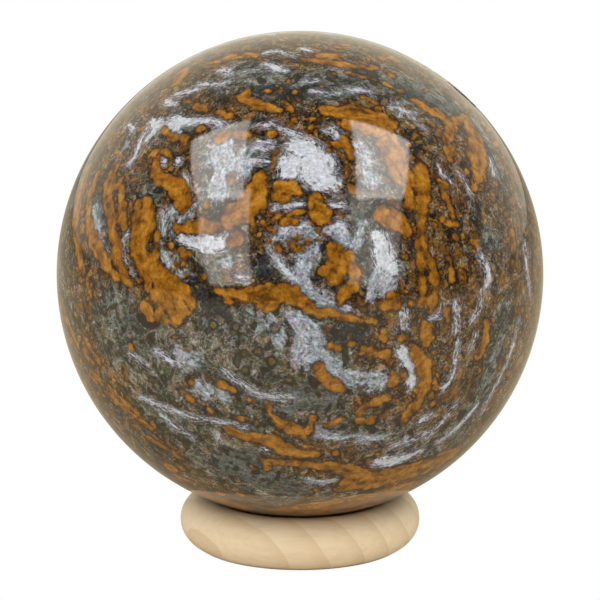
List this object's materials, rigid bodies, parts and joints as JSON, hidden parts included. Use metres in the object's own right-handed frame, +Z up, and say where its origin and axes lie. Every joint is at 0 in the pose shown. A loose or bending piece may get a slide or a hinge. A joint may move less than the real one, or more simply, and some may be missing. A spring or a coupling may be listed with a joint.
{
  "type": "decorative sphere",
  "caption": "Polished natural stone sphere resting loose on a small round-section turned wooden ring stand, for display on a shelf or table.",
  "frame": {"origin": "centre of the ring stand's flat base, on the surface that it stands on", "axes": "+Z up through the centres of the ring and the sphere, -Y towards the side that shows in front, +X to its right"},
  "size_m": [0.12, 0.12, 0.1282],
  "materials": {
    "stone": "polished, ochre, white and blue-grey swirled silica",
    "wood": "bare pale hardwood, turned and sanded"
  },
  "bodies": {
    "root": {"stone_sphere": "stone", "ring_stand": "wood"}
  },
  "joints": []
}
